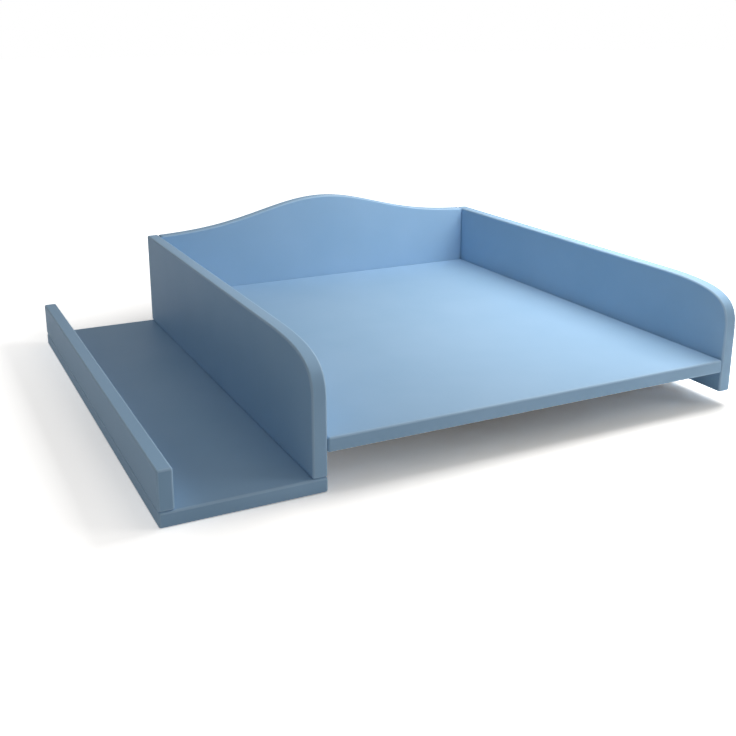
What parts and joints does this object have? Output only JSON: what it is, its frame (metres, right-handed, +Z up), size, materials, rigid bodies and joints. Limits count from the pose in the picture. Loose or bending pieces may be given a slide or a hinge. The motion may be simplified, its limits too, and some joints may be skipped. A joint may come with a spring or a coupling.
{
  "type": "changing table topper",
  "caption": "Lacquered changing tray with low side walls, a wavy back panel and lips that straddle a cabinet or washing machine, with an open shelf along its left side.",
  "frame": {"origin": "on the ground, below the middle of the whole object's box", "axes": "+Z up, +Y from the open front to the back panel, +X from the shelf side to the other side"},
  "size_m": [0.829, 0.719, 0.219],
  "materials": {
    "blue_lacquer": "satin light blue lacquer on 19 mm fibreboard",
    "beech": "plain turned beech",
    "zinc": "die-cast zinc",
    "plated_steel": "bright zinc-plated steel"
  },
  "bodies": {
    "root": {"changing_board": "blue_lacquer", "left_side_panel": "blue_lacquer", "right_side_panel": "blue_lacquer", "back_panel": "blue_lacquer", "shelf_board": "blue_lacquer", "shelf_rim": "blue_lacquer", "back_cam_bolt_left": "plated_steel", "back_cam_bolt_right": "plated_steel", "back_cam_disc_left": "zinc", "back_cam_disc_right": "zinc", "back_dowel_left": "beech", "back_dowel_right": "beech", "corner_cam_bolt_left": "plated_steel", "corner_cam_bolt_right": "plated_steel", "corner_cam_disc_left": "zinc", "corner_cam_disc_right": "zinc", "corner_dowel_left": "beech", "corner_dowel_right": "beech", "left_cam_bolt_front": "plated_steel", "left_cam_bolt_rear": "plated_steel", "left_cam_disc_front": "zinc", "left_cam_disc_rear": "zinc", "left_dowel_front": "beech", "left_dowel_rear": "beech", "panel_dowel_front": "beech", "panel_dowel_rear": "beech", "panel_screw_front": "plated_steel", "panel_screw_middle": "plated_steel", "panel_screw_rear": "plated_steel", "right_cam_bolt_front": "plated_steel", "right_cam_bolt_rear": "plated_steel", "right_cam_disc_front": "zinc", "right_cam_disc_rear": "zinc", "right_dowel_front": "beech", "right_dowel_rear": "beech", "rim_dowel_front": "beech", "rim_dowel_rear": "beech", "rim_screw_front": "plated_steel", "rim_screw_middle": "plated_steel", "rim_screw_rear": "plated_steel"}
  },
  "joints": []
}
